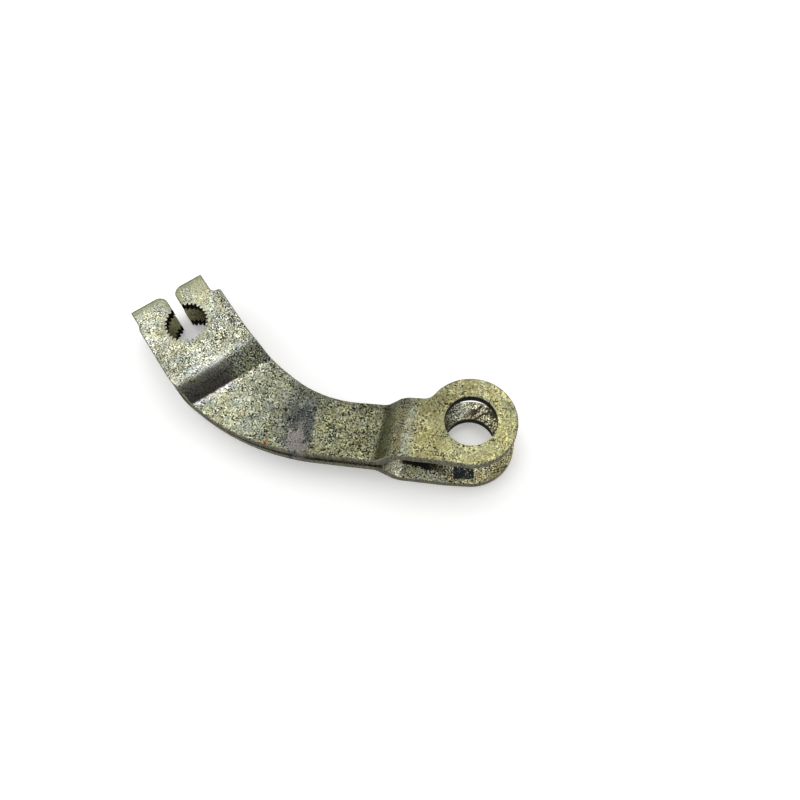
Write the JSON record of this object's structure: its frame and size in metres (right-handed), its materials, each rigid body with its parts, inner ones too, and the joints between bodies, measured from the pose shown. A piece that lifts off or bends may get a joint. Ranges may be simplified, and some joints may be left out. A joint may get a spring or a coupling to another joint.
{
  "type": "brake cam lever",
  "caption": "Curved brake cam lever: two steel leaves spot welded together, with a slotted serrated clamp bore at one end and a forked eye at the other.",
  "frame": {"origin": "on the axis of the serrated cam bore, on the seam between the two leaves, half way up the bore", "axes": "+X towards the eye of the fork, +Y towards the hollow side of the curved arm, +Z along both bores"},
  "size_m": [0.1168, 0.0411, 0.0182],
  "materials": {
    "upper_leaf": "worn, pitted yellow-passivated zinc plating",
    "lower_leaf": "worn, pitted yellow-passivated zinc plating",
    "spot_welds": "bare weld metal"
  },
  "bodies": {
    "root": {"upper_leaf": "upper_leaf", "lower_leaf": "lower_leaf", "spot_welds": "spot_welds"}
  },
  "joints": []
}
